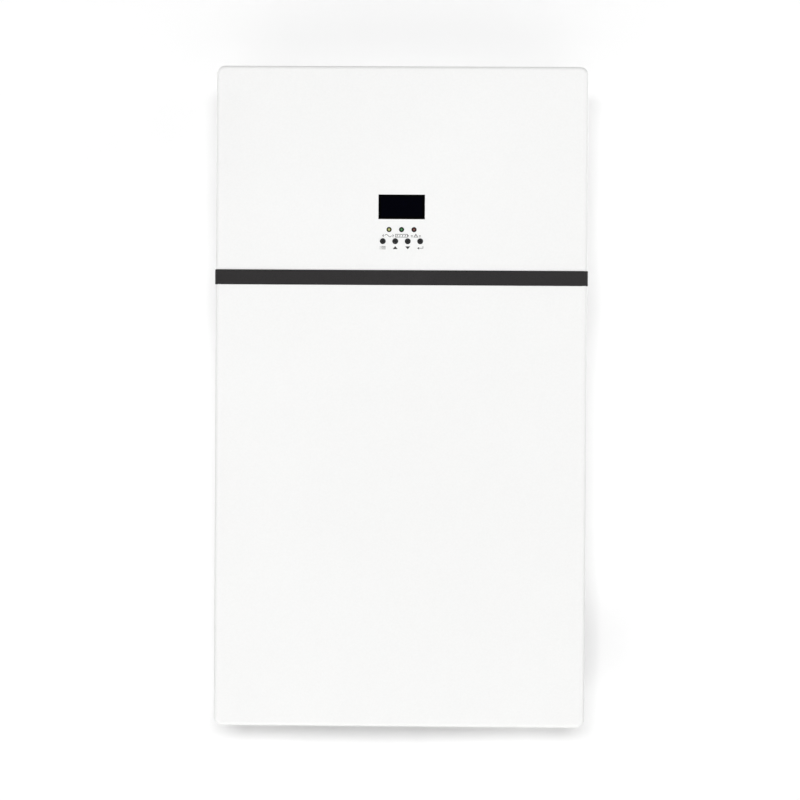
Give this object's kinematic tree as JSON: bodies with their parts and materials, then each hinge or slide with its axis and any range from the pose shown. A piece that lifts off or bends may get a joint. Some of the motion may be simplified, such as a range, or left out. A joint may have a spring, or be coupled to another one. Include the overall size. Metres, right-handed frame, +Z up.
{
  "type": "wall battery unit",
  "caption": "Wall-hung white steel energy storage cabinet with built-in inverter: black accent band, small display, lamps and keys on the front, side fans, breaker pocket and cable bay.",
  "frame": {"origin": "centre of the wall bracket's four-bolt pattern, on the wall's surface", "axes": "+Z up, +Y into the wall, front covers face -Y, +X to the right of a viewer who faces the unit"},
  "size_m": [0.482, 0.209, 0.854],
  "materials": {
    "white_powder_coat": "white powder-coated sheet steel, fine orange peel",
    "charcoal_accent": "matte charcoal coated sheet",
    "zinc_steel": "zinc-plated sheet steel",
    "screw_steel": "zinc-plated screws",
    "black_moulded": "black moulded plastic, fine spark texture",
    "grey_moulded": "light grey moulded plastic",
    "key_rubber": "dark grey moulded key caps",
    "rubber": "black rubber",
    "foam": "black cellular foam",
    "lens_black": "glossy black tinted acrylic",
    "lamp_tint": "unlit tinted diffused lamps",
    "smoked_window": "smoked polycarbonate",
    "circuit_board": "green solder mask",
    "heatsink_aluminium": "extruded aluminium, mill finish",
    "cell_wrap": "aluminium cans in blue film",
    "frame_aluminium": "aluminium plates and bands",
    "busbar_copper": "tinned copper bars",
    "capacitor_sleeve": "dark plastic sleeves",
    "choke_winding": "enamelled copper windings",
    "core_steel": "laminated core and potting",
    "cable_red": "red insulated cable",
    "cable_black": "black insulated cable",
    "fan_plastic": "black glass-filled plastic",
    "brass_plated": "brass"
  },
  "bodies": {
    "cabinet": {"upper_cover": "white_powder_coat", "lower_cover": "white_powder_coat", "accent_strip": "charcoal_accent", "cabinet_screws": "screw_steel", "cover_gaskets": "foam", "rear_panel": "white_powder_coat", "top_cap": "white_powder_coat", "bottom_cap": "white_powder_coat", "left_side_panel": "white_powder_coat", "right_side_panel": "white_powder_coat", "cross_bar": "zinc_steel", "wall_bracket": "zinc_steel", "hanger_rail": "zinc_steel", "wall_bumpers": "rubber", "display_lens": "lens_black", "lcd_module": "grey_moulded", "control_board": "circuit_board", "board_standoffs": "brass_plated", "indicator_lamps": "lamp_tint", "lamp_rings": "black_moulded", "heatsink": "heatsink_aluminium", "power_board": "circuit_board", "bus_capacitors": "capacitor_sleeve", "power_chokes": "choke_winding", "transformer": "core_steel", "ribbon_cable": "grey_moulded", "partition_plate": "zinc_steel", "fan_frames": "fan_plastic", "fan_guards": "screw_steel", "handle_cups": "black_moulded", "battery_brackets": "zinc_steel", "battery_cells": "cell_wrap", "pack_frames": "frame_aluminium", "busbars": "busbar_copper", "bms_board": "circuit_board", "battery_positive_cable": "cable_red", "battery_negative_cable": "cable_black", "mains_leads": "cable_black", "breaker_tray": "black_moulded", "din_rail": "zinc_steel", "breakers": "grey_moulded", "window_pin": "screw_steel", "comms_board": "black_moulded", "dust_caps": "rubber", "power_switch": "black_moulded", "cable_bay": "zinc_steel", "cable_glands": "black_moulded", "solar_connectors": "black_moulded", "ground_stud": "brass_plated"},
    "set_key": {"set_key": "key_rubber"},
    "up_key": {"up_key": "key_rubber"},
    "down_key": {"down_key": "key_rubber"},
    "enter_key": {"enter_key": "key_rubber"},
    "upper_fan_rotor": {"upper_fan_rotor": "fan_plastic"},
    "lower_fan_rotor": {"lower_fan_rotor": "fan_plastic"},
    "battery_lever": {"battery_lever": "black_moulded"},
    "ac_input_lever": {"ac_input_lever": "black_moulded"},
    "ac_output_lever": {"ac_output_lever": "black_moulded"},
    "breaker_window": {"breaker_window": "smoked_window"},
    "power_rocker": {"power_rocker": "black_moulded"}
  },
  "joints": [
    {"name": "set_key_press", "type": "slide", "parent": "cabinet", "child": "set_key", "axis": [0, 1, 0], "range_m": [0, 0.001], "stiffness_N_per_m": 1500},
    {"name": "up_key_press", "type": "slide", "parent": "cabinet", "child": "up_key", "axis": [0, 1, 0], "range_m": [0, 0.001], "stiffness_N_per_m": 1500},
    {"name": "down_key_press", "type": "slide", "parent": "cabinet", "child": "down_key", "axis": [0, 1, 0], "range_m": [0, 0.001], "stiffness_N_per_m": 1500},
    {"name": "enter_key_press", "type": "slide", "parent": "cabinet", "child": "enter_key", "axis": [0, 1, 0], "range_m": [0, 0.001], "stiffness_N_per_m": 1500},
    {"name": "upper_fan_spin", "type": "hinge", "parent": "cabinet", "child": "upper_fan_rotor", "pos_m": [-0.223, -0.09, 0.07], "axis": [1, 0, 0], "continuous": true},
    {"name": "lower_fan_spin", "type": "hinge", "parent": "cabinet", "child": "lower_fan_rotor", "pos_m": [-0.223, -0.09, -0.03], "axis": [1, 0, 0], "continuous": true},
    {"name": "battery_lever_swing", "type": "hinge", "parent": "cabinet", "child": "battery_lever", "pos_m": [0.215, -0.131, -0.625], "axis": [0, -1, 0], "range_deg": [0, 70]},
    {"name": "ac_input_lever_swing", "type": "hinge", "parent": "cabinet", "child": "ac_input_lever", "pos_m": [0.215, -0.095, -0.625], "axis": [0, -1, 0], "range_deg": [0, 70]},
    {"name": "ac_output_lever_swing", "type": "hinge", "parent": "cabinet", "child": "ac_output_lever", "pos_m": [0.215, -0.059, -0.625], "axis": [0, -1, 0], "range_deg": [0, 70]},
    {"name": "breaker_window_open", "type": "hinge", "parent": "cabinet", "child": "breaker_window", "pos_m": [0.2373, -0.095, -0.5784], "axis": [0, -1, 0], "range_deg": [0, 110]},
    {"name": "power_rocker_tilt", "type": "hinge", "parent": "cabinet", "child": "power_rocker", "pos_m": [0.233, -0.058, -0.548], "axis": [0, 1, 0], "range_deg": [0, 20]}
  ]
}
